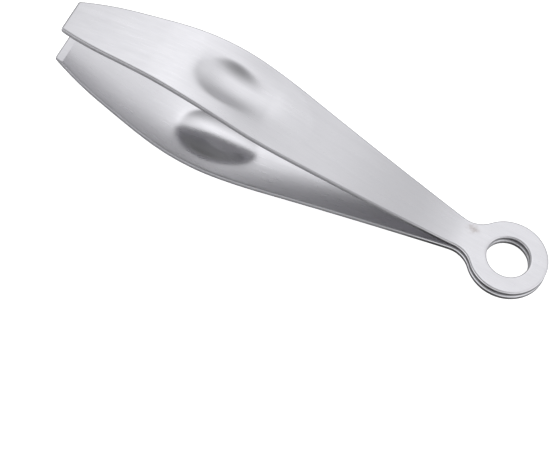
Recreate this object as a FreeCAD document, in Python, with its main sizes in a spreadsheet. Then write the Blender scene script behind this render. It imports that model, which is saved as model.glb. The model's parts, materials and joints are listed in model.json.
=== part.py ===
"""Sprung tongs of stamped sheet steel: two mirror-image leaves joined at a finger ring.

Frame: the origin is the centre of the ring's hole, on the plane midway between the leaves.
+X runs from the ring to the gripping tips, +Z is the ring's axis, and Y is across the width.
Each leaf is one bent strip.  It is cut across at its flexure, the line that the leaf bends
about when the tongs are squeezed, so that the blade can turn against the ring plate.
"""
import FreeCAD, Part
import math
import os
import Sketcher

Vector = FreeCAD.Vector
Rotation = FreeCAD.Rotation
Placement = FreeCAD.Placement

# Driving dimensions, in millimetres and degrees.
DIMENSIONS = {
    "ring_diameter": 18.4,       # outside of the finger ring
    "hole_diameter": 10.0,       # hang hole through both ring plates
    "sheet": 1.5,                # thickness of the sheet steel
    "plate_gap": 0.2,            # stand-off that the welds leave between the ring plates
    "reach": 112.0,              # hole centre to the ends of the tips
    "edge_round": 0.35,          # tumbled radius on every long edge
    # Side view of a leaf's middle surface: flat, then four arcs, each tangent to the last.
    "neck_bend_start": 10.6,
    "neck_bend_end": 14.4,
    "neck_bend_radius": 24.3,    # bends outwards
    "shank_end": 67.0,
    "shank_radius": 927.0,       # bows outwards a little
    "belly_end": 90.3,
    "belly_radius": 56.4,        # turns back towards the middle plane
    "nose_radius": 275.0,        # goes on turning inwards to the tip
    # Plan view of a leaf: neck taper, rounded belly, nose taper, rounded shoulder, square tip.
    "widest_at": 70.0,
    "half_width": 9.5,
    "belly_side_radius": 127.0,
    "neck_taper": 6.5,
    "nose_taper": 6.9,
    "shoulder_radius": 80.0,
    "tip_half_width": 4.3,
    "waist_fillet": 6.0,         # between the ring and the neck
    "tip_corner": 0.6,
    # Finger dimple: an oval pressed inwards, which bulges on the inside of the leaf.
    "dimple_at": 71.7,
    "dimple_half_length": 9.6,
    "dimple_half_width": 5.6,
    "dimple_depth": 2.1,
    "dimple_rise": 3.0,          # height of the forming ellipsoid's centre over the skin
    "dimple_wall": 1.25,         # thickness of the stretched sheet
    "dimple_rim": 1.2,           # radius that rolls the outer skin into the hollow
    "dimple_crease": 0.8,        # radius between the inner skin and the bulge
    # Gripping facet, ground flat on the inside of each tip.
    "facet_length": 1.9,
    "grip_clearance": 0.05,      # facet to middle plane when the tongs are closed
    # Flexure line and welds.
    "flexure_at": 28.0,
    "flexure_nose": 0.7,
    "flexure_clearance": 0.1,
    "weld_diameter": 2.6,
    "weld_depth": 0.35,          # how far a weld nugget goes into each plate
    "weld_circle": 14.2,         # circle through the centres of the nuggets
}
WELD_COUNT = 3
OVERRUN = 1.0                    # how far tool bodies run past the metal they cut
TOOL_HEIGHT = 60.0               # taller than the open tongs


doc = FreeCAD.newDocument("tongs")
sheet = doc.addObject("Spreadsheet::Sheet", "dims")
for row, (alias, value) in enumerate(DIMENSIONS.items(), start=1):
    sheet.set("A%d" % row, alias)
    sheet.set("B%d" % row, str(value))
    sheet.setAlias("B%d" % row, alias)
doc.recompute()


def size(alias):
    """The value that the sheet holds under this alias."""
    return float(sheet.get(alias))


# --- Side view worked out from the driving dimensions -------------------------------------

def leaf_start_height():
    return (size("sheet") + size("plate_gap")) / 2


def side_arcs():
    """The four arcs of the middle line: start and end slope, centre and signed radius."""
    ends = [size("neck_bend_end"), size("shank_end"), size("belly_end"), size("reach") + OVERRUN]
    radii = [size("neck_bend_radius"), size("shank_radius"),
             -size("belly_radius"), -size("nose_radius")]
    arcs = []
    x, z, slope = size("neck_bend_start"), leaf_start_height(), 0.0
    for end, radius in zip(ends, radii):
        end_slope = math.asin(math.sin(slope) + (end - x) / radius)
        centre = (x - radius * math.sin(slope), z + radius * math.cos(slope))
        arcs.append({"x0": x, "x1": end, "slope0": slope, "slope1": end_slope,
                     "radius": radius, "centre": centre})
        z = centre[1] - radius * math.cos(end_slope)
        x, slope = end, end_slope
    return arcs


def middle_line(x):
    """Height and slope of the upper leaf's middle surface at x, beyond the neck bend."""
    for arc in side_arcs():
        if arc["x0"] <= x <= arc["x1"]:
            slope = math.asin((x - arc["centre"][0]) / arc["radius"])
            return arc["centre"][1] - arc["radius"] * math.cos(slope), slope
    raise ValueError("x is outside the arcs of the leaf")


def skin_point(x, offset):
    """Point at a distance from the middle surface, along its normal, as (x, z)."""
    height, slope = middle_line(x)
    return x - offset * math.sin(slope), height + offset * math.cos(slope)


def pivot():
    return size("flexure_at"), middle_line(size("flexure_at"))[0]


def closing_angle():
    """Turn of a blade, in degrees, that brings the start of its facet to the middle plane."""
    px, pz = pivot()
    x, z = skin_point(size("reach") - size("facet_length"), -size("sheet") / 2)
    reach = math.hypot(x - px, z - pz)
    closed = math.asin((size("grip_clearance") - pz) / reach)
    return math.degrees(math.atan2(z - pz, x - px) - closed)


# --- Sketch helpers -----------------------------------------------------------------------

def origin_plane(body, role):
    return next(item for item in body.Origin.OriginFeatures if item.Role == role)


def sketch_in(body, name, role):
    sketch = body.newObject("Sketcher::SketchObject", name)
    sketch.AttachmentSupport = [(origin_plane(body, role), "")]
    sketch.MapMode = "FlatFace"
    return sketch


def constrain(sketch, kind, *arguments):
    return sketch.addConstraint(Sketcher.Constraint(kind, *arguments))


def drive(sketch, name, expression, kind, *arguments):
    """Add a named dimension and bind it to the sheet."""
    index = constrain(sketch, kind, *arguments)
    sketch.renameConstraint(index, name)
    sketch.setExpression("Constraints." + name, expression)


def arc_edge(centre, radius, start_angle, end_angle):
    circle = Part.Circle(Vector(centre[0], centre[1], 0), Vector(0, 0, 1), radius)
    return Part.ArcOfCircle(circle, start_angle, end_angle)


def line_edge(start, end):
    return Part.LineSegment(Vector(start[0], start[1], 0), Vector(end[0], end[1], 0))


START, END, CENTRE = 1, 2, 3
AXIS = -1                        # the sketch's horizontal axis; its START is the origin


# --- Plan view: a prism of the leaf's outline, as tall as the tool height -------------------

def plan_half():
    """Corner points and centres of the outline's +Y half, worked out from tangencies."""
    neck, nose = math.radians(size("neck_taper")), math.radians(size("nose_taper"))
    belly, shoulder = size("belly_side_radius"), size("shoulder_radius")
    belly_centre = Vector(size("widest_at"), size("half_width") - belly, 0)
    neck_end = belly_centre + Vector(-belly * math.sin(neck), belly * math.cos(neck), 0)
    nose_start = belly_centre + Vector(belly * math.sin(nose), belly * math.cos(nose), 0)
    tip = Vector(size("reach"), size("tip_half_width"), 0)
    # The shoulder arc touches the nose line and passes through the tip corner.
    along = Vector(math.cos(nose), -math.sin(nose), 0)
    inward = Vector(-math.sin(nose), -math.cos(nose), 0)
    to_tip = tip - nose_start
    run = to_tip * along - math.sqrt(shoulder ** 2 - (shoulder - to_tip * inward) ** 2)
    nose_end = nose_start + along * run
    shoulder_centre = nose_end + inward * shoulder
    # The neck line meets the ring's circle: its distance from the origin gives the angle.
    radius = size("ring_diameter") / 2
    line_height = neck_end.y * math.cos(neck) - neck_end.x * math.sin(neck)
    root_angle = math.asin(line_height / radius) + neck
    root = Vector(radius * math.cos(root_angle), radius * math.sin(root_angle), 0)
    return root, neck_end, belly_centre, nose_start, nose_end, shoulder_centre, tip


def angle_about(centre, point):
    return math.atan2(point.y - centre.y, point.x - centre.x)


def arc_between(centre, radius, first, last):
    """Anticlockwise arc from the direction of first to the direction of last."""
    circle = Part.Circle(centre, Vector(0, 0, 1), radius)
    return Part.ArcOfCircle(circle, angle_about(centre, first), angle_about(centre, last))


def draw_half_outline(sketch):
    root, neck_end, belly_centre, nose_start, nose_end, shoulder_centre, tip = plan_half()
    origin, radius = Vector(), size("ring_diameter") / 2
    back, front = Vector(-radius, 0, 0), Vector(size("reach"), 0, 0)
    ring, neck, belly, nose, shoulder, end, middle = sketch.addGeometry([
        arc_between(origin, radius, root, back),
        Part.LineSegment(root, neck_end),
        arc_between(belly_centre, size("belly_side_radius"), nose_start, neck_end),
        Part.LineSegment(nose_start, nose_end),
        arc_between(shoulder_centre, size("shoulder_radius"), tip, nose_end),
        Part.LineSegment(tip, front),
        Part.LineSegment(front, back)], False)

    constrain(sketch, "Coincident", ring, CENTRE, AXIS, START)
    constrain(sketch, "Coincident", ring, START, neck, START)
    constrain(sketch, "Tangent", neck, END, belly, END)
    constrain(sketch, "Tangent", belly, START, nose, START)
    constrain(sketch, "Tangent", nose, END, shoulder, END)
    constrain(sketch, "Coincident", shoulder, START, end, START)
    constrain(sketch, "Coincident", end, END, middle, START)
    constrain(sketch, "Coincident", middle, END, ring, END)
    constrain(sketch, "Vertical", end)
    constrain(sketch, "PointOnObject", middle, START, AXIS)
    constrain(sketch, "PointOnObject", middle, END, AXIS)

    drive(sketch, "ring_radius", "dims.ring_diameter / 2", "Radius", ring, radius)
    drive(sketch, "neck_taper", "dims.neck_taper * 1 deg",
          "Angle", neck, math.radians(size("neck_taper")))
    drive(sketch, "belly_radius", "dims.belly_side_radius",
          "Radius", belly, size("belly_side_radius"))
    drive(sketch, "widest_at", "dims.widest_at",
          "DistanceX", AXIS, START, belly, CENTRE, belly_centre.x)
    drive(sketch, "belly_centre_depth", "dims.belly_side_radius - dims.half_width",
          "DistanceY", belly, CENTRE, AXIS, START, -belly_centre.y)
    drive(sketch, "nose_taper", "-dims.nose_taper * 1 deg",
          "Angle", nose, -math.radians(size("nose_taper")))
    drive(sketch, "shoulder_radius", "dims.shoulder_radius",
          "Radius", shoulder, size("shoulder_radius"))
    drive(sketch, "reach", "dims.reach", "DistanceX", AXIS, START, end, START, tip.x)
    drive(sketch, "tip_half_width", "dims.tip_half_width",
          "DistanceY", AXIS, START, end, START, tip.y)


def upright_edges_at(shape, matches):
    """Names of the prism's straight upright edges whose (x, y) the test accepts."""
    names = []
    for number, edge in enumerate(shape.Edges, start=1):
        ends = edge.Vertexes
        upright = len(ends) == 2 and abs(ends[0].Z - ends[1].Z) > TOOL_HEIGHT * 0.99
        if upright and matches(ends[0].X, ends[0].Y):
            names.append("Edge%d" % number)
    return names


def round_upright_edges(body, base, alias, matches):
    fillet = body.newObject("PartDesign::Fillet", alias + "_round")
    fillet.Base = (base, upright_edges_at(base.Shape, matches))
    fillet.setExpression("Radius", "dims." + alias)
    doc.recompute()
    return fillet


def make_blank():
    """Prism of the whole plan outline, with the hole through the ring."""
    body = doc.addObject("PartDesign::Body", "blank")
    outline = sketch_in(body, "half_outline", "XY_Plane")
    draw_half_outline(outline)
    pad = body.newObject("PartDesign::Pad", "half_prism")
    pad.Profile = outline
    pad.Midplane = True
    pad.Length = TOOL_HEIGHT
    doc.recompute()

    mirrored = body.newObject("PartDesign::Mirrored", "whole_prism")
    mirrored.Originals = [pad]
    mirrored.MirrorPlane = (origin_plane(body, "XZ_Plane"), [""])
    body.Tip = mirrored
    doc.recompute()

    circle = sketch_in(body, "hole_circle", "XY_Plane")
    hole_radius = size("hole_diameter") / 2
    hole = circle.addGeometry(Part.Circle(Vector(), Vector(0, 0, 1), hole_radius), False)
    constrain(circle, "Coincident", hole, CENTRE, AXIS, START)
    drive(circle, "hole_radius", "dims.hole_diameter / 2", "Radius", hole, hole_radius)
    pocket = body.newObject("PartDesign::Pocket", "hang_hole")
    pocket.Profile = circle
    pocket.Midplane = True
    pocket.Length = TOOL_HEIGHT + 2 * OVERRUN
    doc.recompute()

    ring_radius, reach = size("ring_diameter") / 2, size("reach")
    waist = round_upright_edges(body, pocket, "waist_fillet",
                                lambda x, y: x > 0 and abs(math.hypot(x, y) - ring_radius) < 0.01)
    round_upright_edges(body, waist, "tip_corner", lambda x, y: abs(x - reach) < 0.01)
    return body


# --- Side view: a strip of the sheet's thickness swept along the middle line ------------------

def make_strip():
    """Wide strip that follows the upper leaf's side view, from behind the ring to past the tip."""
    body = doc.addObject("PartDesign::Body", "strip")
    path = sketch_in(body, "middle_line", "XZ_Plane")
    start = Vector(-size("ring_diameter") / 2 - OVERRUN, leaf_start_height(), 0)
    bend = Vector(size("neck_bend_start"), leaf_start_height(), 0)
    edges = [Part.LineSegment(start, bend)]
    for arc in side_arcs():
        centre = Vector(arc["centre"][0], arc["centre"][1], 0)
        circle = Part.Circle(centre, Vector(0, 0, 1), abs(arc["radius"]))
        # Angles about the centre: outward bends lie below it, inward bends above it.
        if arc["radius"] > 0:
            span = (arc["slope0"] - math.pi / 2, arc["slope1"] - math.pi / 2)
        else:
            span = (arc["slope1"] + math.pi / 2, arc["slope0"] + math.pi / 2)
        edges.append(Part.ArcOfCircle(circle, *span))
    line, *arcs = path.addGeometry(edges, False)
    constrain(path, "Horizontal", line)
    drive(path, "strip_start", "dims.ring_diameter / 2 + %g" % OVERRUN,
          "DistanceX", line, START, AXIS, START, -start.x)
    drive(path, "start_height", "(dims.sheet + dims.plate_gap) / 2",
          "DistanceY", AXIS, START, line, START, start.y)
    drive(path, "neck_bend_start", "dims.neck_bend_start",
          "DistanceX", AXIS, START, line, END, bend.x)
    ends = {"neck_bend_end": "dims.neck_bend_end", "shank_end": "dims.shank_end",
            "belly_end": "dims.belly_end", "strip_end": "dims.reach + %g" % OVERRUN}
    radii = ["neck_bend_radius", "shank_radius", "belly_radius", "nose_radius"]
    previous, previous_end = line, END
    for index, arc, (name, expression), radius in zip(arcs, side_arcs(), ends.items(), radii):
        # An arc runs anticlockwise: an outward bend starts at the ring, an inward one ends there.
        near, far = (START, END) if arc["radius"] > 0 else (END, START)
        constrain(path, "Tangent", previous, previous_end, index, near)
        drive(path, radius, "dims." + radius, "Radius", index, size(radius))
        drive(path, name, expression, "DistanceX", AXIS, START, index, far, arc["x1"])
        previous, previous_end = index, far

    section = sketch_in(body, "strip_section", "YZ_Plane")
    section.AttachmentOffset = Placement(Vector(0, 0, start.x), Rotation())
    section.setExpression("AttachmentOffset.Base.z", "-dims.ring_diameter / 2 - %g" % OVERRUN)
    half, low = size("half_width") + OVERRUN, size("plate_gap") / 2
    high = low + size("sheet")
    corners = [Vector(-half, low, 0), Vector(half, low, 0), Vector(half, high, 0),
               Vector(-half, high, 0)]
    sides = section.addGeometry([Part.LineSegment(corners[n], corners[(n + 1) % 4])
                                 for n in range(4)], False)
    for n in range(4):
        constrain(section, "Coincident", sides[n], END, sides[(n + 1) % 4], START)
        constrain(section, "Vertical" if n % 2 else "Horizontal", sides[n])
    drive(section, "half_strip", "dims.half_width + %g" % OVERRUN,
          "DistanceX", AXIS, START, sides[0], END, half)
    drive(section, "strip_width", "2 * (dims.half_width + %g)" % OVERRUN,
          "DistanceX", sides[0], START, sides[0], END, 2 * half)
    drive(section, "inner_skin", "dims.plate_gap / 2",
          "DistanceY", AXIS, START, sides[0], END, low)
    drive(section, "sheet", "dims.sheet", "DistanceY", sides[1], START, sides[1], END, high - low)
    doc.recompute()

    pipe = body.newObject("PartDesign::AdditivePipe", "bent_strip")
    pipe.Profile = section
    pipe.Spine = (path, ["Edge%d" % (n + 1) for n in range(len(edges))])
    doc.recompute()
    return body


# --- Leaf: the blank and the strip's common metal, rounded, dimpled and ground ----------------

def add(kind, name, **values):
    item = doc.addObject(kind, name)
    for key, value in values.items():
        setattr(item, key, value)
    return item


def sharp_edges(shape, chosen):
    """Numbers of the edges where two faces meet at an angle, of those that chosen accepts."""
    numbers = []
    for number, edge in enumerate(shape.Edges, start=1):
        faces = shape.ancestorsOfType(edge, Part.Face)
        middle = edge.valueAt((edge.FirstParameter + edge.LastParameter) / 2)
        if len(faces) != 2 or not chosen(middle):
            continue
        normals = [face.normalAt(*face.Surface.parameter(middle)) for face in faces]
        if normals[0].getAngle(normals[1]) > math.radians(5):
            numbers.append(number)
    return numbers


def round_edges(name, base, alias, chosen):
    """Fillet of the base's sharp edges whose middles the test accepts."""
    radius = size(alias)
    fillet = add("Part::Fillet", name, Base=base)
    fillet.Edges = [(number, radius, radius) for number in sharp_edges(base.Shape, chosen)]
    doc.recompute()
    return fillet


def make_dimpled(leaf):
    """Press the finger dimple: a bulge joined on under the leaf, and the hollow cut from above."""
    x, half_sheet = size("dimple_at"), size("sheet") / 2
    slope = middle_line(x)[1]
    tilt = Rotation(Vector(0, 1, 0), -math.degrees(slope))
    top_x, top_z = skin_point(x, half_sheet + size("dimple_rise"))
    place = Placement(Vector(top_x, 0, top_z), tilt)
    height = "(dims.dimple_rise + dims.dimple_depth)"
    spread = "sqrt(1 - (dims.dimple_rise / %s) ^ 2)" % height
    radii = {"Radius1": height, "Radius2": "(dims.dimple_half_length / %s)" % spread,
             "Radius3": "(dims.dimple_half_width / %s)" % spread}
    hollow = add("Part::Ellipsoid", "dimple_hollow", Placement=place)
    swell = add("Part::Ellipsoid", "dimple_swell", Placement=place)
    for name, expression in radii.items():
        hollow.setExpression(name, expression)
        swell.setExpression(name, expression + " + dims.dimple_wall")
    # Only the swell below a plane inside the sheet is metal.  The sheet bends away from that
    # plane on both sides of the dimple, so it starts a little nearer to the inner skin.
    mid_x, mid_z = skin_point(x, -2 * half_sheet / 3)
    half = size("half_width")
    keep = add("Part::Box", "swell_keeper", Length=4 * half, Width=2 * half, Height=2 * half)
    corner = tilt.multVec(Vector(-2 * half, -half, -2 * half))
    keep.Placement = Placement(Vector(mid_x, 0, mid_z) + corner, tilt)
    bulge = add("Part::MultiCommon", "dimple_bulge", Shapes=[swell, keep])
    swollen = add("Part::Fuse", "swollen_leaf", Base=leaf, Tool=bulge)
    dimpled = add("Part::Cut", "dimpled_leaf", Base=swollen, Tool=hollow)
    doc.recompute()
    outer = round_edges("rolled_dimple", dimpled, "dimple_rim",
                        lambda point: near_dimple(point) and above_middle(point))
    return round_edges("eased_dimple", outer, "dimple_crease",
                       lambda point: near_dimple(point) and not above_middle(point))


def near_dimple(point):
    reach = size("dimple_half_length") + OVERRUN
    return abs(point.x - size("dimple_at")) < reach and abs(point.y) < reach / 1.5


def above_middle(point):
    return point.z > middle_line(point.x)[0]


def make_ground(leaf):
    """Grind the gripping facet, which lies flat on the middle plane when the blade is closed."""
    x, z = skin_point(size("reach") - size("facet_length"), -size("sheet") / 2)
    tilt = Rotation(Vector(0, 1, 0), -closing_angle())
    width, depth = 4 * size("tip_half_width"), 2 * size("facet_length")
    wheel = add("Part::Box", "facet_wheel", Length=depth, Width=width, Height=depth)
    wheel.Placement = Placement(Vector(x, 0, z) + tilt.multVec(Vector(0, -width / 2, -depth)), tilt)
    return add("Part::Cut", "ground_leaf", Base=leaf, Tool=wheel)


def split_at_flexure(leaf):
    """Part the leaf across its flexure: a socket in the ring plate, a round nose on the blade."""
    px, pz = pivot()
    slope = middle_line(px)[1]
    tilt = Rotation(Vector(0, 1, 0), -math.degrees(slope))
    half = size("half_width") + OVERRUN
    base = Vector(px, 0, pz)
    across = Placement(base + Vector(0, half, 0), Rotation(Vector(1, 0, 0), 90))
    socket = add("Part::Cylinder", "flexure_socket", Height=2 * half, Placement=across)
    socket.setExpression("Radius", "dims.flexure_nose + dims.flexure_clearance")
    rod = add("Part::Cylinder", "flexure_rod", Height=2 * half, Placement=across)
    rod.setExpression("Radius", "dims.flexure_nose")
    length = size("reach")
    ahead = add("Part::Box", "ahead_of_flexure", Length=length, Width=2 * half, Height=length)
    ahead.Placement = Placement(base + tilt.multVec(Vector(0, -half, -length / 2)), tilt)
    behind = add("Part::Box", "behind_flexure", Length=length, Width=2 * half, Height=length)
    behind.Placement = Placement(base + tilt.multVec(Vector(-length, -half, -length / 2)), tilt)
    cutters = add("Part::MultiFuse", "plate_cutters", Shapes=[ahead, socket])
    plate = add("Part::Cut", "plate", Base=leaf, Tool=cutters)
    nose = add("Part::MultiCommon", "blade_nose", Shapes=[leaf, rod, behind])
    front = add("Part::MultiCommon", "blade_front", Shapes=[leaf, ahead])
    blade = add("Part::Fuse", "blade", Base=front, Tool=nose)
    return plate, blade


def make_welds():
    """Nuggets of spot weld between the ring plates, spread evenly round the hole."""
    nuggets = []
    height = "dims.plate_gap + 2 * dims.weld_depth"
    for number in range(WELD_COUNT):
        nugget = add("Part::Cylinder", "nugget_%d" % (number + 1))
        nugget.setExpression("Radius", "dims.weld_diameter / 2")
        nugget.setExpression("Height", height)
        angle = "%g deg" % (number * 360 / WELD_COUNT)
        nugget.setExpression("Placement.Base.x", "dims.weld_circle / 2 * cos(%s)" % angle)
        nugget.setExpression("Placement.Base.y", "dims.weld_circle / 2 * sin(%s)" % angle)
        nugget.setExpression("Placement.Base.z", "-dims.plate_gap / 2 - dims.weld_depth")
        nuggets.append(nugget)
    return add("Part::Compound", "ring_welds", Links=nuggets)


blank = make_blank()
strip = make_strip()
bent = add("Part::MultiCommon", "bent_leaf", Shapes=[blank, strip])
doc.recompute()
rounded = round_edges("rounded_leaf", bent, "edge_round", lambda point: True)
dimpled = make_dimpled(rounded)
ground = make_ground(dimpled)
plate, blade = split_at_flexure(ground)
welds = make_welds()
doc.recompute()

upper_plate = add("Part::Cut", "upper_ring_plate", Base=plate, Tool=welds)
lower_plate = add("Part::Mirroring", "lower_ring_plate", Source=upper_plate, Normal=Vector(0, 0, 1))
lower_blade = add("Part::Mirroring", "lower_blade", Source=blade, Normal=Vector(0, 0, 1))
doc.recompute()

nodes = {"upper_ring_plate": upper_plate, "lower_ring_plate": lower_plate,
         "upper_blade": blade, "lower_blade": lower_blade, "ring_welds": welds}
for name, item in nodes.items():
    item.Label = name
doc.recompute()

for item in doc.Objects:
    if {"Invalid", "Error"} & set(item.State):
        raise RuntimeError("%s did not recompute: %s" % (item.Name, item.State))
for name, item in nodes.items():
    if item.Shape.isNull() or not item.Shape.isValid() or not item.Shape.Solids:
        raise RuntimeError("%s has no valid solid" % name)

os.makedirs("parts", exist_ok=True)
for name, item in nodes.items():
    item.Shape.exportStep(os.path.join("parts", name + ".step"))
    box = item.Shape.BoundBox
    print("%-18s %d solid(s) %9.2f mm3  x %.2f..%.2f  y %.2f..%.2f  z %.2f..%.2f" % (
        name, len(item.Shape.Solids), item.Shape.Volume,
        box.XMin, box.XMax, box.YMin, box.YMax, box.ZMin, box.ZMax))
print("pivot x %.4f z %.4f, closing angle %.4f deg" % (*pivot(), closing_angle()))
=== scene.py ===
import json
import math

import bmesh
import bpy
import numpy as np
from mathutils import Matrix, Vector


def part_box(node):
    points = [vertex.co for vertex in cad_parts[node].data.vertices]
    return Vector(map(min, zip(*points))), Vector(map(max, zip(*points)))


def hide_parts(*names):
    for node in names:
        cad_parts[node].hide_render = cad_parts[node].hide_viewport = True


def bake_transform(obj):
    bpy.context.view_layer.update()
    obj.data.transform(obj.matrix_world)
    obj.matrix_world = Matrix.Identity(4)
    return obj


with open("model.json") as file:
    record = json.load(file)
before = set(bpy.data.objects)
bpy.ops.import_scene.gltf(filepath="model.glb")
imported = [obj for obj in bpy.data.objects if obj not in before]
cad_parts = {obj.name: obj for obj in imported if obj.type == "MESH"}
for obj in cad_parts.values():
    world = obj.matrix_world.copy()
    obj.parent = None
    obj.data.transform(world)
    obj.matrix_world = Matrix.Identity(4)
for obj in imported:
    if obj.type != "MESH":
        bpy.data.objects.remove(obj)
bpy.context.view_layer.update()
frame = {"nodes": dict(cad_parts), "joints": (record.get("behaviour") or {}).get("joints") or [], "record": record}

MM = 0.001

# --- The leaf's driving dimensions, in millimetres and radians ----------------------------------

# They are the CAD model's, except the edge's rounding and the dimple, which follow the photograph
# more closely than its plain solids do.

MOUNTS = {mount["name"]: mount for mount in frame["record"]["mounts"]}
RING_RADIUS = -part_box("upper_ring_plate")[0].x / MM
HOLE_RADIUS = MOUNTS["hang_hole"]["dims"]["r_mm"]
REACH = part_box("upper_blade")[1].x / MM
SHEET = 1.5
START_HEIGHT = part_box("upper_ring_plate")[0].z / MM + SHEET / 2
CLOSING = math.radians(frame["joints"][0]["range_deg"][1])

# Side view of the middle surface: flat up to the first x, then tangent arcs to each next x.
# A positive radius bends outwards, a negative one back towards the middle plane.
SIDE_START = 10.6
SIDE_ARCS = ((14.4, 24.3), (67.0, 927.0), (90.3, -56.4), (113.0, -275.0))

# Plan view: neck line, belly arc, nose line, shoulder arc, rounded corner, square end.
WIDEST_AT, HALF_WIDTH, BELLY_RADIUS = 70.0, 9.5, 127.0
NECK_TAPER, NOSE_TAPER = math.radians(6.5), math.radians(6.9)
SHOULDER_RADIUS, TIP_HALF_WIDTH, TIP_CORNER = 80.0, 4.3, 0.6
WAIST_FILLET = 6.0
EDGE_ROUND = 0.42            # between a skin and the blanked wall
FACET_LENGTH = 1.9           # of the ground gripping facet, inside the tip
FACET_START = REACH - FACET_LENGTH

# Finger dimple: steepest along its sides, and running out softly towards the ring.  Each skin has
# its half-lengths (ring end, tip end), half-width, depth and rim softness (side, ring, tip).
DIMPLE_AT = 72.6
DIMPLE_BLEND = 4.0           # over which the ring end's shape turns into the tip end's
DIMPLE_RISE = 12.0           # height of the forming ellipsoid's centre over the skin
HOLLOW = ((11.0, 6.6), 5.3, 1.95, (0.08, 1.0, 0.08))
BULGE = ((11.5, 8.2), 6.2, 1.95, (0.008, 0.03, 0.06))

# Mesh density.
ROW_STEP = 0.55              # along the blade
END_COLUMNS = 38             # across the square end, and so across the blade
CORNER_STEPS = 3             # in each half of a tip corner
RING_STEP = math.radians(3)
RING_ROWS = 12               # from the hole to the ring's outline
ROUND_STEPS = 6              # from a skin to the wall
WALL_STEPS = 3
STEP_SLACK = 1.001           # keeps rounding from adding a step to an even division
SHARP_ANGLE = math.radians(19)   # from here up, an edge beside the facet is a crisp one


# --- Side view ----------------------------------------------------------------------------------

def side_segments():
    """Start, end, centre and signed radius of each side-view arc."""
    segments = []
    x, z, slope = SIDE_START, START_HEIGHT, 0.0
    for end, radius in SIDE_ARCS:
        cx, cz = x - radius * math.sin(slope), z + radius * math.cos(slope)
        segments.append((x, end, cx, cz, radius))
        slope = math.asin((end - cx) / radius)
        x, z = end, cz - radius * math.cos(slope)
    return segments


SEGMENTS = side_segments()


def skin_height(x, offset):
    """Height at x of the surface that lies at an offset along the normal from the middle one."""
    x, offset = np.broadcast_arrays(np.asarray(x, float), np.asarray(offset, float))
    height = START_HEIGHT + offset
    for start, _, cx, cz, radius in SEGMENTS:
        # The offset surface changes arcs on the same normal as the middle surface does.
        reach = radius - offset
        beyond = x >= cx + reach * (start - cx) / radius
        root = np.sqrt(np.clip(1 - ((x - cx) / reach) ** 2, 0, 1))
        height = np.where(beyond, cz - reach * root, height)
    return height


def length_along(x):
    """Distance along the middle surface from the hole's centre to x."""
    x = np.asarray(x, float)
    length = np.minimum(x, SIDE_START)
    for start, end, cx, _, radius in SEGMENTS:
        reached = np.clip(x, start, end)
        turn = np.arcsin((reached - cx) / radius) - math.asin((start - cx) / radius)
        length = length + radius * turn
    return length


DIMPLE_ALONG = float(length_along(DIMPLE_AT))


def pressed(x, y, shape):
    """How far a skin is pressed in: an ellipsoid's cap with a softly rolled rim."""
    (ring_length, tip_length), half_width, depth, (side, ring_end, tip_end) = shape
    away = length_along(x) - DIMPLE_ALONG
    tip_share = 1 / (1 + np.exp(-away / DIMPLE_BLEND))
    half_length = ring_length + (tip_length - ring_length) * tip_share
    end_share = np.minimum((away / half_length) ** 2, 1)
    softness = side + (ring_end + (tip_end - ring_end) * tip_share - side) * end_share
    full = DIMPLE_RISE + depth
    spread = math.sqrt(1 - (DIMPLE_RISE / full) ** 2)
    radial = (away * spread / half_length) ** 2 + (y * spread / half_width) ** 2
    cap = full * np.sqrt(np.clip(1 - radial, 0, 1)) - DIMPLE_RISE
    # Softened so that it runs out to nothing where the ellipsoid itself ends.
    soft = (cap + np.sqrt(cap ** 2 + 4 * softness)) / 2
    rest = (-DIMPLE_RISE + np.sqrt(DIMPLE_RISE ** 2 + 4 * softness)) / 2
    return np.where(radial < 1, soft - rest, 0)


def facet_height(x):
    """Plane of the ground gripping facet, which is level when the blade has closed."""
    return float(skin_height(FACET_START, -SHEET / 2)) + (x - FACET_START) * math.tan(CLOSING)


def leaf_height(x, y, offset):
    """Height of a point of the upper leaf over its place in plan, for an offset in the sheet."""
    share = (offset + SHEET / 2) / SHEET
    press = pressed(x, y, HOLLOW) * share + pressed(x, y, BULGE) * (1 - share)
    height = skin_height(x, offset) - press
    # At the tip, the inner skin and the wall above it stop at the facet's plane.
    return np.where(x > FACET_START - EDGE_ROUND, np.maximum(height, facet_height(x)), height)


# --- Plan view ----------------------------------------------------------------------------------

def unit(angle):
    """The unit vector in plan at an angle from +X."""
    return np.array([math.cos(angle), math.sin(angle)])


def spaced(first, last, step):
    """Values from first to last, evenly spaced and no further apart than the step."""
    return np.linspace(first, last, max(1, math.ceil(abs(last - first) / step)) + 1)


def arc_stations(centre, radius, first, last, step):
    """Stations (point, outward normal) on an arc between two angles; hollow if radius < 0."""
    return [(centre + radius * unit(a), unit(a)) for a in spaced(first, last, step)]


def line_stations(start, end, normal):
    """Stations on a straight line, a row's step apart or less."""
    count = math.ceil(np.linalg.norm(end - start) / ROW_STEP)
    return [(start + (end - start) * k / count, normal) for k in range(count + 1)]


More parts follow.
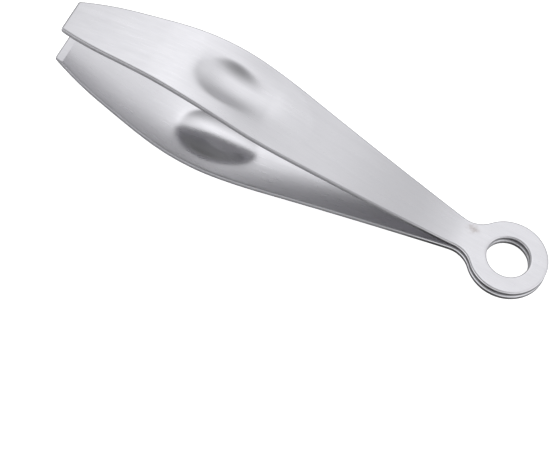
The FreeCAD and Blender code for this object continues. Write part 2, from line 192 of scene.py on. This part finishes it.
def half_outline():
    """Stations (point, outward normal) of the +Y half: ring and waist, blade side, square end."""
    quarter = math.pi / 2
    neck_normal, nose_normal = unit(quarter + NECK_TAPER), unit(quarter - NOSE_TAPER)
    belly_centre = np.array([WIDEST_AT, HALF_WIDTH - BELLY_RADIUS])
    neck_end = belly_centre + BELLY_RADIUS * neck_normal
    nose_start = belly_centre + BELLY_RADIUS * nose_normal

    # The waist fillet touches the ring's circle and the neck line.
    waist_reach, line_reach = RING_RADIUS + WAIST_FILLET, neck_end @ neck_normal
    along = math.sqrt(waist_reach ** 2 - (line_reach + WAIST_FILLET) ** 2)
    waist_centre = unit(NECK_TAPER) * along + neck_normal * (line_reach + WAIST_FILLET)
    waist_angle = math.atan2(waist_centre[1], waist_centre[0])
    ring = arc_stations(np.zeros(2), RING_RADIUS, math.pi, waist_angle, RING_STEP)
    ring += arc_stations(waist_centre, -WAIST_FILLET, waist_angle, quarter + NECK_TAPER,
                         ROW_STEP / WAIST_FILLET)[1:]

    # The shoulder arc touches the nose line and passes through the square tip's corner.
    tip, run = np.array([REACH, TIP_HALF_WIDTH]), unit(-NOSE_TAPER)
    to_tip = tip - nose_start
    sag = SHOULDER_RADIUS + to_tip @ nose_normal
    nose_end = nose_start + run * (to_tip @ run - math.sqrt(SHOULDER_RADIUS ** 2 - sag ** 2))
    shoulder_centre = nose_end - SHOULDER_RADIUS * nose_normal
    inner_radius = SHOULDER_RADIUS - TIP_CORNER
    corner_x = REACH - TIP_CORNER
    corner_angle = math.acos((corner_x - shoulder_centre[0]) / inner_radius)
    corner = shoulder_centre + inner_radius * unit(corner_angle)
    facet_angle = math.acos((FACET_START - shoulder_centre[0]) / (SHOULDER_RADIUS - EDGE_ROUND))

    side = line_stations(ring[-1][0], neck_end, neck_normal)
    side += arc_stations(belly_centre, BELLY_RADIUS, quarter + NECK_TAPER, quarter - NOSE_TAPER,
                         ROW_STEP / BELLY_RADIUS)[1:]
    side += line_stations(nose_start, nose_end, nose_normal)[1:]
    for first, last in ((quarter - NOSE_TAPER, facet_angle), (facet_angle, corner_angle)):
        side += arc_stations(shoulder_centre, SHOULDER_RADIUS, first, last,
                             ROW_STEP / SHOULDER_RADIUS)[1:]
    turn = (corner_angle - quarter / 2) / CORNER_STEPS
    side += arc_stations(corner, TIP_CORNER, corner_angle, quarter / 2, turn * STEP_SLACK)[1:]

    turn = quarter / 2 / CORNER_STEPS
    end = arc_stations(corner, TIP_CORNER, quarter / 2, 0, turn * STEP_SLACK)
    straight = np.linspace(corner[1], 0, END_COLUMNS // 2 + 1)[1:]
    end += [(np.array([REACH, y]), unit(0)) for y in straight]
    return ring, side, end


def mirrored(stations):
    """The same stations on the other side of the leaf's length."""
    flip = np.array([1, -1])
    return [(point * flip, normal * flip) for point, normal in stations]


def inset(station, distance):
    """The point that lies a distance inside the outline at a station."""
    return station[0] - station[1] * distance


def plan_mesh():
    """The leaf's plan inside its rounded edges: points, quads and the two border loops.

    Each border loop is a list of (point number, station)."""
    ring, side, end = half_outline()
    end_row = end + mirrored(end[:-1])[::-1]
    end_points = np.array([inset(s, EDGE_ROUND) for s in end_row])
    fractions = end_points[:, 1] / end_points[0, 1]
    points = []
    for station in side[:-1]:
        x, half = inset(station, EDGE_ROUND)
        points.append(np.column_stack([np.full(len(fractions), x), fractions * half]))
    points.append(end_points)
    rows, columns = len(points), len(fractions)
    grid = np.arange(rows * columns).reshape(rows, columns)
    points = list(np.concatenate(points))
    quads = [(grid[i, j], grid[i + 1, j], grid[i + 1, j + 1], grid[i, j + 1])
             for i in range(rows - 1) for j in range(columns - 1)]

    # Spokes run from the hole to the ring's outline, and to the first row of the blade grid.
    front, back = ring[:-1], mirrored(ring[1:-1])[::-1]
    rim = [(inset(s, EDGE_ROUND), None) for s in front]
    rim += [(points[v], v) for v in grid[0]]
    rim += [(inset(s, EDGE_ROUND), None) for s in back]
    spokes, hole = [], []
    for outer, shared in rim:
        outwards = outer / np.linalg.norm(outer)
        start = outwards * (HOLE_RADIUS + EDGE_ROUND)
        spoke = []
        for k in range(RING_ROWS if shared is not None else RING_ROWS + 1):
            spoke.append(len(points))
            points.append(start + (outer - start) * k / RING_ROWS)
        if shared is not None:
            spoke.append(shared)
        spokes.append(spoke)
        hole.append((spoke[0], (outwards * HOLE_RADIUS, -outwards)))
    for a, b in zip(spokes, spokes[1:] + spokes[:1]):
        quads += [(a[k], a[k + 1], b[k + 1], b[k]) for k in range(RING_ROWS)]

    outline = [(spoke[-1], station) for spoke, station in zip(spokes, front)]
    outline += [(grid[i, 0], side[i]) for i in range(rows - 1)]
    outline += [(grid[-1, j], end_row[j]) for j in range(columns)]
    outline += [(grid[i, -1], s) for i, s in reversed(list(enumerate(mirrored(side[:-1]))))]
    outline += [(spoke[-1], station) for spoke, station in zip(spokes[-len(back):], back)]
    return np.array(points), quads, [outline, hole]


# --- Leaf mesh ----------------------------------------------------------------------------------

def edge_profile():
    """(inset, offset) from one skin to the other over the rounded edge, without the two ends."""
    half, r = SHEET / 2, EDGE_ROUND
    top = [(r * (1 - math.sin(a)), half - r * (1 - math.cos(a)))
           for a in np.linspace(0, math.pi / 2, ROUND_STEPS + 1)[1:]]
    wall = [(0.0, offset) for offset in np.linspace(half - r, r - half, WALL_STEPS + 1)[1:-1]]
    return top + wall + [(d, -offset) for d, offset in reversed(top)]


def leaf_surface():
    """Vertices of the upper leaf, their places in the flat sheet, and its faces."""
    plan, quads, borders = plan_mesh()
    half = SHEET / 2
    places = [np.column_stack([plan, np.full(len(plan), offset)]) for offset in (half, -half)]
    inner = len(plan)
    faces = [list(q) for q in quads] + [[v + inner for v in reversed(q)] for q in quads]
    start = 2 * inner
    profile = edge_profile()
    for border in borders:
        # From the outer skin's border, over the rounded edge and the wall, to the inner skin's.
        loops = [[v for v, _ in border]]
        for distance, offset in profile:
            loop = np.array([inset(station, distance) for _, station in border])
            places.append(np.column_stack([loop, np.full(len(loop), offset)]))
            loops.append(list(range(start, start + len(loop))))
            start += len(loop)
        loops.append([v + inner for v, _ in border])
        for a, b in zip(loops, loops[1:]):
            for k in range(len(a)):
                n = (k + 1) % len(a)
                faces.append([a[k], b[k], b[n], a[n]])
    places = np.concatenate(places)
    x, y, offset = places.T
    vertices = np.column_stack([x, y, leaf_height(x, y, offset)])
    flat = np.column_stack([length_along(x), y, offset])
    return vertices, flat, faces


def make_leaf(name, side, surface):
    """One leaf; side is 1 for the upper one and -1 for its mirror image below."""
    vertices, flat, faces = surface
    mesh = bpy.data.meshes.new(name)
    mesh.from_pydata((vertices * (1, 1, side) * MM).tolist(), [], faces)
    bm = bmesh.new()
    bm.from_mesh(mesh)
    bmesh.ops.recalc_face_normals(bm, faces=bm.faces)
    for edge in bm.edges:
        near_facet = min(v.co.x for v in edge.verts) > (FACET_START - EDGE_ROUND) * MM
        if near_facet and edge.calc_face_angle(0) > SHARP_ANGLE:
            edge.smooth = False
    bm.to_mesh(mesh)
    bm.free()
    mesh.polygons.foreach_set("use_smooth", [True] * len(mesh.polygons))
    sheet = mesh.attributes.new("sheet_place", "FLOAT_VECTOR", "POINT")
    sheet.data.foreach_set("vector", (flat * MM).ravel().astype(np.float32))
    leaf = bpy.data.objects.new(name, mesh)
    bpy.context.scene.collection.objects.link(leaf)
    return leaf


surface = leaf_surface()
upper_leaf = make_leaf("upper_leaf", 1, surface)
lower_leaf = make_leaf("lower_leaf", -1, surface)

# --- Materials ----------------------------------------------------------------------------------

GRAIN_ROUGHNESS = 0.6        # of every noise: how much its finer octaves show


class Graph:
    """A node tree under construction: each method adds nodes and returns an output."""

    def __init__(self, tree):
        self.tree = tree

    def add(self, kind, output, settings=(), **inputs):
        """One node; an input's name is its socket's, or _ and the socket's number."""
        node = self.tree.nodes.new(kind)
        for key, value in dict(settings).items():
            setattr(node, key, value)
        for key, value in inputs.items():
            socket = node.inputs[int(key[1:])] if key[1:].isdigit() else node.inputs[key]
            if isinstance(value, bpy.types.NodeSocket):
                self.tree.links.new(value, socket)
            else:
                socket.default_value = value
        return node.outputs[output]

    def math(self, operation, first, second=0.0, third=0.0):
        return self.add("ShaderNodeMath", 0, {"operation": operation}, _0=first, _1=second,
                        _2=third)

    def product(self, first, second):
        return self.math("MULTIPLY", first, second)

    def vector(self, operation, output, first, second=(0, 0, 0), third=(0, 0, 0)):
        return self.add("ShaderNodeVectorMath", output, {"operation": operation}, _0=first,
                        _1=second, _2=third)


class Finish(Graph):
    """A material under construction; its constants go straight onto the shader's sockets."""

    def __init__(self, name, **constants):
        self.material = bpy.data.materials.new(name)
        self.material.use_nodes = True
        super().__init__(self.material.node_tree)
        self.shader = self.tree.nodes["Principled BSDF"]
        for socket, value in constants.items():
            self.shader.inputs[socket.replace("_", " ")].default_value = value

    def place(self):
        """The point's place in the flat sheet: length, width and depth, in metres."""
        return self.add("ShaderNodeAttribute", "Vector", {"attribute_name": "sheet_place"})

    def solid_place(self):
        """The point's place in the object at rest, in metres."""
        return self.add("ShaderNodeTexCoord", "Object")

    def split(self, place):
        node = self.tree.nodes.new("ShaderNodeSeparateXYZ")
        self.tree.links.new(place, node.inputs[0])
        return node.outputs

    def grain(self, place, features, detail, seed):
        """Noise with so many features per metre along each axis."""
        scaled = self.vector("MULTIPLY_ADD", "Vector", place, features, (seed, seed, seed))
        return self.add("ShaderNodeTexNoise", 0, Vector=scaled, Scale=1.0, Detail=detail,
                        Roughness=GRAIN_ROUGHNESS)

    def ramp(self, value, low, high, to_low=0.0, to_high=1.0, smooth=True):
        """A value between low and high, turned into one between to_low and to_high."""
        kind = "SMOOTHSTEP" if smooth else "LINEAR"
        return self.add("ShaderNodeMapRange", 0, {"interpolation_type": kind}, _0=value, _1=low,
                        _2=high, _3=to_low, _4=to_high)

    def near(self, place, spot, spread):
        """1 at a spot of the sheet, fading to 0 at the spread around it; both in millimetres."""
        scale = tuple(1 / (reach * MM) for reach in spread)
        shift = tuple(-centre / reach for centre, reach in zip(spot, spread))
        scaled = self.vector("MULTIPLY_ADD", "Vector", place, scale, shift)
        return self.ramp(self.vector("LENGTH", "Value", scaled), 0.0, 1.0, 1.0, 0.0)

    def tinted(self, tone, share, colour, strength=1.0):
        """A tone with a colour laid over it, where and as far as the share says."""
        if strength != 1.0:
            share = self.product(share, strength)
        return self.mix(share, tone, colour)

    def mix(self, share, first, second):
        return self.add("ShaderNodeMix", 2, {"data_type": "RGBA"}, _0=share, _6=first, _7=second)

    def connect(self, socket, value):
        self.tree.links.new(value, self.shader.inputs[socket])

    def emboss(self, height, strength, distance):
        self.connect("Normal", self.add("ShaderNodeBump", 0, Height=height, Strength=strength,
                                        Distance=distance * MM))


# Grains of the sheet: features per metre along its length, width and depth, detail, and seed.
FINE_GRAIN = (240, 5200, 5200), 3.0, 3.1
STREAK_GRAIN = (60, 1150, 1150), 2.0, 11.7
CLOUD_GRAIN = (260, 420, 420), 3.0, 23.9
HAIR_GRAIN = (160, 9000, 9000), 1.0, 41.3
FRACTURE_GRAIN = (900, 900, 2600), 3.0, 7.7
GROUND_GRAIN = (900, 9500, 900), 2.0, 5.3
STAIN_GRAIN = (700, 700, 700), 2.0, 2.2
FINE_SHARE, STREAK_SHARE, CLOUD_SHARE = 0.45, 0.35, 0.20
BRUSHED_RANGE = 0.32, 0.68
HAIR_RANGE = 0.69, 0.76
FRACTURE_RANGE = 0.35, 0.65
STAIN_RANGE = 0.3, 0.7

# Where the sheet differs, in millimetres: along it, or in its depth.
EDGE_DEPTH, EDGE_ALONG = (0.58, 0.74), (16.0, 30.0)
# Where the painted shade over the bend by the ring rises and falls, along the sheet.
NECK_PAINTED_SHADE_RISE, NECK_PAINTED_SHADE_FALL = (11.0, 24.0), (26.0, 48.0)
STAIN_SPOT, STAIN_SPREAD = (9.9, -2.0, 0.75), (2.4, 2.0, 1.2)
# Depth past which a point lies on an inner skin, which gets painted light.
INNER_DEPTH = -0.74
FACET_DEPTH_SHARE = 1.02     # of the wall's half-height, past which the tip's inside is facet

# Colours of the sheet, and how strongly each lies over the ones before it.
BRUSHED_TONES = (0.612, 0.607, 0.630, 1), (0.668, 0.662, 0.686, 1)
HAIR_TONE, HAIR_STRENGTH = (0.78, 0.775, 0.80, 1), 0.2
# The blade's edge: its darker tone is painted shade, its extra roughness is the real duller finish.
EDGE_PAINTED_SHADE_TONE, EDGE_PAINTED_SHADE_STRENGTH = (0.44, 0.436, 0.455, 1), 0.75
FRACTURE_TONE, FRACTURE_STRENGTH = (0.50, 0.496, 0.515, 1), 0.5
STAIN_TONE, STAIN_STRENGTH = (0.37, 0.33, 0.315, 1), 0.9
GROUND_TONE = (0.50, 0.496, 0.515, 1)
# Painted shade: the bend by the ring is darkened.
NECK_PAINTED_SHADE_TONE, NECK_PAINTED_SHADE_STRENGTH = (0.36, 0.357, 0.37, 1), 0.42
# Painted light: the inner skins are made lighter.
INNER_PAINTED_LIGHT_TONE, INNER_PAINTED_LIGHT_STRENGTH = (0.82, 0.813, 0.845, 1), 0.30

# Roughness of the brushed sheet, and what each place adds to it.
BRUSHED_ROUGHNESS = 0.315, 0.265
EDGE_ROUGHNESS, FRACTURE_ROUGHNESS, FACET_ROUGHNESS, HAIR_ROUGHNESS = 0.28, 0.10, 0.14, -0.05

# Relief: its height in millimetres, how strongly it shows, and shares beside the fine grain's 1.
SHEET_RELIEF, SHEET_RELIEF_STRENGTH = 0.012, 0.35
HAIR_RELIEF, FRACTURE_RELIEF = -0.15, 2.0


def leaf_finish():
    """Satin stainless sheet, brushed lengthwise, with a duller edge and a ground facet; painted shade on the
    blade's edge and the bend by the ring, and painted light on the inner skins.
    """
    steel = Finish("leaf_steel", Metallic=1.0)
    place = steel.place()
    along, _, depth = steel.split(place)

    fine = steel.grain(place, *FINE_GRAIN)
    streak = steel.grain(place, *STREAK_GRAIN)
    cloud = steel.grain(place, *CLOUD_GRAIN)
    hair = steel.ramp(steel.grain(place, *HAIR_GRAIN), *HAIR_RANGE)
    coarse = steel.math("ADD", steel.product(streak, STREAK_SHARE),
                        steel.product(cloud, CLOUD_SHARE))
    brushed = steel.math("MULTIPLY_ADD", fine, FINE_SHARE, coarse)

    # The blanked wall between the rounded edges, the blade's whole edge, which is rougher and darkened with
    # painted shade, and the facet.
    wall_depth = (SHEET / 2 - EDGE_ROUND) * MM
    outward = steel.math("ABSOLUTE", depth)
    wall = steel.ramp(outward, wall_depth, SHEET / 2 * MM, 1.0, 0.0)
    edge_low, edge_high = (d * MM for d in EDGE_DEPTH)
    edge = steel.product(steel.ramp(outward, edge_low, edge_high, 1.0, 0.0),
                         steel.ramp(along, *(x * MM for x in EDGE_ALONG)))
    torn = steel.product(wall, steel.ramp(steel.grain(place, *FRACTURE_GRAIN), *FRACTURE_RANGE))
    facet_along = float(length_along(FACET_START)) * MM
    facet = steel.product(steel.math("GREATER_THAN", along, facet_along),
                          steel.math("LESS_THAN", depth, -wall_depth * FACET_DEPTH_SHARE))
    ground = steel.product(facet, steel.grain(place, *GROUND_GRAIN))

    # A faint heat stain beside the welds, painted shade over the bend by the ring, and painted light on the inner
    # skins, which are made a little lighter.
    stain = steel.product(steel.near(place, STAIN_SPOT, STAIN_SPREAD),
                          steel.ramp(steel.grain(place, *STAIN_GRAIN), *STAIN_RANGE))
    fall_start, fall_end = (x * MM for x in NECK_PAINTED_SHADE_FALL)
    neck_painted_shade = steel.product(steel.ramp(along, *(x * MM for x in NECK_PAINTED_SHADE_RISE)),
                            steel.ramp(along, fall_start, fall_end, 1.0, 0.0))
    inner = steel.math("LESS_THAN", depth, INNER_DEPTH * MM)

    tone = steel.mix(steel.ramp(brushed, *BRUSHED_RANGE, smooth=False), *BRUSHED_TONES)
    tone = steel.tinted(tone, hair, HAIR_TONE, HAIR_STRENGTH)
    # Painted shade: the blade's edge is darkened.
    tone = steel.tinted(tone, edge, EDGE_PAINTED_SHADE_TONE, EDGE_PAINTED_SHADE_STRENGTH)
    tone = steel.tinted(tone, torn, FRACTURE_TONE, FRACTURE_STRENGTH)
    tone = steel.tinted(tone, stain, STAIN_TONE, STAIN_STRENGTH)
    tone = steel.tinted(tone, ground, GROUND_TONE)
    # Painted shade over the bend by the ring.
    tone = steel.tinted(tone, neck_painted_shade, NECK_PAINTED_SHADE_TONE, NECK_PAINTED_SHADE_STRENGTH)
    # Painted light on the inner skins.
    tone = steel.tinted(tone, inner, INNER_PAINTED_LIGHT_TONE, INNER_PAINTED_LIGHT_STRENGTH)
    steel.connect("Base Color", tone)

    rough = steel.ramp(brushed, *BRUSHED_RANGE, *BRUSHED_ROUGHNESS, smooth=False)
    for share, extra in ((edge, EDGE_ROUGHNESS), (torn, FRACTURE_ROUGHNESS),
                         (facet, FACET_ROUGHNESS), (hair, HAIR_ROUGHNESS)):
        rough = steel.math("MULTIPLY_ADD", share, extra, rough)
    steel.connect("Roughness", rough)

    # Brushing grooves on the skins, coarse shear marks on the wall, grinding on the facet.
    skin = steel.math("SUBTRACT", steel.math("SUBTRACT", 1.0, wall), facet)
    relief = steel.product(steel.math("MULTIPLY_ADD", hair, HAIR_RELIEF, fine), skin)
    relief = steel.math("MULTIPLY_ADD", torn, FRACTURE_RELIEF, relief)
    steel.emboss(steel.math("ADD", relief, ground), SHEET_RELIEF_STRENGTH, SHEET_RELIEF)
    return steel.material


# Weld metal: heat colours under a lighter ripple, and the ripple's roughness and relief.
HEAT_GRAIN, HEAT_RANGE = ((420, 420, 420), 1.0, 8.8), (0.38, 0.62)
RIPPLE_GRAIN, RIPPLE_RANGE = ((1500, 1500, 1500), 4.0, 1.3), (0.3, 0.7)
STRAW, BLUE = (0.42, 0.36, 0.28, 1), (0.30, 0.31, 0.37, 1)
RIPPLE_TONE, RIPPLE_STRENGTH = (0.58, 0.57, 0.57, 1), 0.4
RIPPLE_ROUGHNESS = 0.5, 0.3
WELD_RELIEF, WELD_RELIEF_STRENGTH = 0.03, 0.5


def weld_finish():
    """Spot-weld metal: cast-looking, with straw and blue heat colours."""
    metal = Finish("weld_steel", Metallic=1.0)
    place = metal.solid_place()
    ripple = metal.grain(place, *RIPPLE_GRAIN)
    heat = metal.ramp(metal.grain(place, *HEAT_GRAIN), *HEAT_RANGE)
    metal.connect("Base Color", metal.mix(metal.ramp(ripple, *RIPPLE_RANGE, 0.0, RIPPLE_STRENGTH),
                                          metal.mix(heat, STRAW, BLUE), RIPPLE_TONE))
    metal.connect("Roughness", metal.ramp(ripple, *RIPPLE_RANGE, *RIPPLE_ROUGHNESS))
    metal.emboss(ripple, WELD_RELIEF_STRENGTH, WELD_RELIEF)
    return metal.material


leaf_steel = leaf_finish()
for leaf in (upper_leaf, lower_leaf):
    leaf.data.materials.append(leaf_steel)
weld = frame["nodes"]["ring_welds"]
weld.data.materials.clear()
weld.data.materials.append(weld_finish())

# --- Leaves in place of the CAD parts -----------------------------------------------------------

# Each leaf's transform is baked into its mesh, and the CAD ring plate and blade it stands for are hidden; the real
# leaf flexes over its neck, from just outside the ring to well past the flexure line.
for leaf, side in ((upper_leaf, "upper"), (lower_leaf, "lower")):
    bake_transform(leaf)
    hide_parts(side + "_ring_plate", side + "_blade")

# --- Floor, light, camera -----------------------------------------------------------------------

def resting_line(vertices):
    """Slope and height at x = 0 of the line that both the ring and the belly rest on."""
    # The lower leaf is the upper one upside down, and it rests on its side view's convex hull.
    spots = sorted({(round(x, 4), round(z, 4)) for x, z in vertices[:, [0, 2]] * (1, -1)})
    hull = []
    for spot in spots:
        while len(hull) > 1 and ((hull[-1][0] - hull[-2][0]) * (spot[1] - hull[-2][1])
                                 <= (hull[-1][1] - hull[-2][1]) * (spot[0] - hull[-2][0])):
            hull.pop()
        hull.append(spot)
    a, b = max(zip(hull, hull[1:]), key=lambda pair: pair[1][0] - pair[0][0])
    slope = (b[1] - a[1]) / (b[0] - a[0])
    return slope, a[1] - slope * a[0]


# The floor is a sheet of white paper that the tongs rest on, on ring and belly.  Beyond the ring it
# curves down and away, so that a low view from that end isn't blocked.  Millimetres.
FLOOR_BACK, FLOOR_FRONT, FLOOR_SIDE = -900.0, 1500.0, 1200.0
FALL_START, FALL_LENGTH, FALL_GAIN = -25.0, 60.0, 1.4
FALL_ROWS = 40
PAPER_ROUGHNESS = 0.9
PAPER_GLOW = 0.9             # so that the paper stays plain white, as in the photograph
PAPER_GRAIN = (60, 60, 60), 3.0, 0.4
PAPER_TONES = (0.88, 0.88, 0.88, 1), (0.92, 0.92, 0.92, 1)


def make_floor():
    slope, intercept = resting_line(surface[0])
    xs = np.concatenate([np.linspace(FLOOR_BACK, FALL_START, FALL_ROWS), [FLOOR_FRONT]])
    beyond = np.maximum(FALL_START - xs, 0)
    bend = np.minimum(beyond, FALL_LENGTH)
    fall = slope * FALL_GAIN * (bend ** 2 / (2 * FALL_LENGTH) + beyond - bend)
    heights = intercept + slope * xs + fall
    vertices = [(x * MM, y * MM, z * MM) for x, z in zip(xs, heights)
                for y in (-FLOOR_SIDE, FLOOR_SIDE)]
    faces = [(2 * k, 2 * k + 2, 2 * k + 3, 2 * k + 1) for k in range(len(xs) - 1)]
    mesh = bpy.data.meshes.new("floor")
    mesh.from_pydata(vertices, [], faces)
    mesh.polygons.foreach_set("use_smooth", [True] * len(faces))
    floor = bpy.data.objects.new("floor", mesh)
    bpy.context.scene.collection.objects.link(floor)
    paper = Finish("floor_paper", Roughness=PAPER_ROUGHNESS, Emission_Color=(1, 1, 1, 1),
                   Emission_Strength=PAPER_GLOW)
    paper.connect("Base Color", paper.mix(paper.grain(paper.solid_place(), *PAPER_GRAIN),
                                          *PAPER_TONES))
    mesh.materials.append(paper.material)
    floor.visible_glossy = False


make_floor()


def direction(azimuth, elevation):
    """Unit vector to a place around the object, in degrees; azimuth 0 is -Y and 90 is +X."""
    a, e = math.radians(azimuth), math.radians(elevation)
    return Vector((math.sin(a) * math.cos(e), -math.cos(a) * math.cos(e), math.sin(e)))


# Studio light: pools (azimuth, elevation, tightness, strength), which are added up.  A pool is
# brightest in its own direction, and spreads over half of the surroundings at most.
POOLS = ((140, -2, 8.0, 2.0), (185, 0, 11.0, 1.5), (39, 50, 7.0, 1.4), (227, -12, 9.0, 1.2),
         (88, -10, 6.6, 1.2), (266, 25, 2.5, 1.2), (330, -15, 1.6, 0.6), (316, 85, 16.0, 0.75),
         (330, 50, 3.5, 0.3))
LIGHT_COLOUR = (0.985, 0.99, 1.0, 1)


def make_surroundings():
    world = bpy.data.worlds.new("studio")
    world.use_nodes = True
    light = Graph(world.node_tree)
    towards = light.add("ShaderNodeTexCoord", "Generated")
    total = 0.0
    for azimuth, elevation, tightness, strength in POOLS:
        facing = light.vector("DOT_PRODUCT", "Value", towards, direction(azimuth, elevation))
        pool = light.math("POWER", light.math("MAXIMUM", facing, 0.0), tightness)
        total = light.math("MULTIPLY_ADD", pool, strength, total)
    background = world.node_tree.nodes["Background"]
    background.inputs["Color"].default_value = LIGHT_COLOUR
    world.node_tree.links.new(total, background.inputs["Strength"])
    return world


bpy.context.scene.world = make_surroundings()

# Camera: looks down at a spot beside the blade, with the tips to the upper left in its picture.
VIEW_AZIMUTH, VIEW_ELEVATION, VIEW_ROLL, VIEW_DISTANCE = 190.3, 59.45, 18.8, 0.6775
LOOK_AT = Vector((0.0481, 0.02106, 0.0))
LENS, SENSOR_WIDTH = 200.8, 36.0


def make_camera():
    data = bpy.data.cameras.new("camera")
    data.sensor_width = SENSOR_WIDTH
    data.lens = LENS
    camera = bpy.data.objects.new("camera", data)
    bpy.context.scene.collection.objects.link(camera)
    back = direction(VIEW_AZIMUTH, VIEW_ELEVATION)
    camera.location = LOOK_AT + back * VIEW_DISTANCE
    camera.rotation_mode = "QUATERNION"
    camera.rotation_quaternion = (
        Matrix.Rotation(math.radians(VIEW_ROLL), 3, back).to_quaternion()
        @ (-back).to_track_quat("-Z", "Y"))
    return camera


bpy.context.scene.camera = make_camera()
bpy.context.scene.view_settings.view_transform = "Standard"
